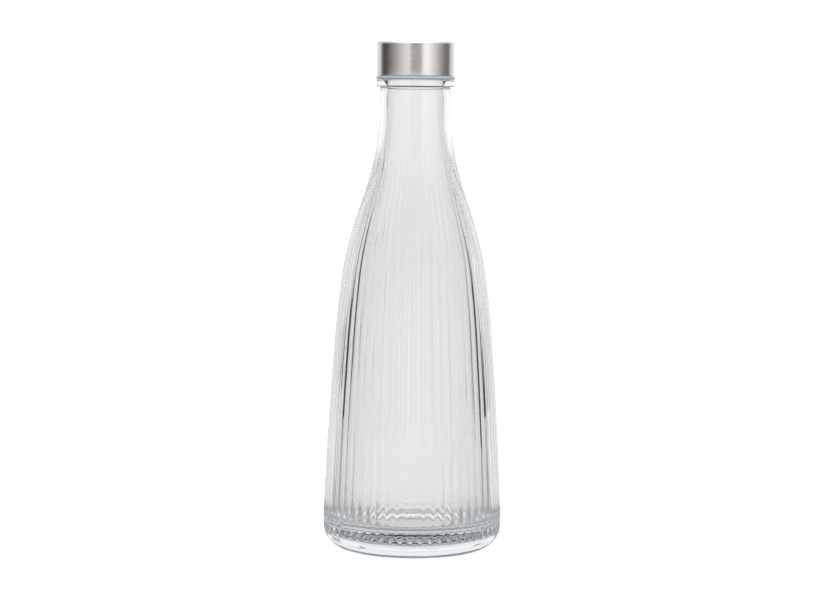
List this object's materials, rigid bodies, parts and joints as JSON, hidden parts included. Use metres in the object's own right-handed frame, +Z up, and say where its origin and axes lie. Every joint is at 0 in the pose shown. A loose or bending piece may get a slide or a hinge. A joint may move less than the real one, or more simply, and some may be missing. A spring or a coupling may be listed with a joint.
{
  "type": "glass water bottle",
  "caption": "Clear fluted glass water bottle with a slim neck, rounded heel and a brushed steel screw cap that turns and lifts off.",
  "frame": {"origin": "centre of the foot ring, on the surface the bottle stands on", "axes": "+Z up along the bottle's axis, from the foot to the cap"},
  "size_m": [0.1, 0.1, 0.2834],
  "materials": {
    "clear_glass": "clear, fire-polished soda-lime glass",
    "brushed_steel": "fine brushing round the cap",
    "liner_plastic": "moulded, slightly milky",
    "gasket_silicone": "matt, translucent silicone",
    "ring_silicone": "satin, translucent blue-grey silicone"
  },
  "bodies": {
    "bottle": {"glass_bottle": "clear_glass"},
    "seal": {"sealing_gasket": "gasket_silicone"},
    "cap": {"cap_shell": "brushed_steel", "cap_liner": "liner_plastic", "skirt_ring": "ring_silicone"}
  },
  "joints": [
    {"name": "cap_lift", "type": "slide", "parent": "bottle", "child": "seal", "axis": [0, 0, 1], "range_m": [0, 0.022]},
    {"name": "cap_turn", "type": "hinge", "parent": "seal", "child": "cap", "pos_m": [0, 0, 0.2648], "axis": [0, 0, 1], "range_deg": [0, 990]}
  ],
  "couplings": [
    {"joint": "cap_lift", "follows": "cap_turn", "m_per_rad": 0.0012732}
  ]
}
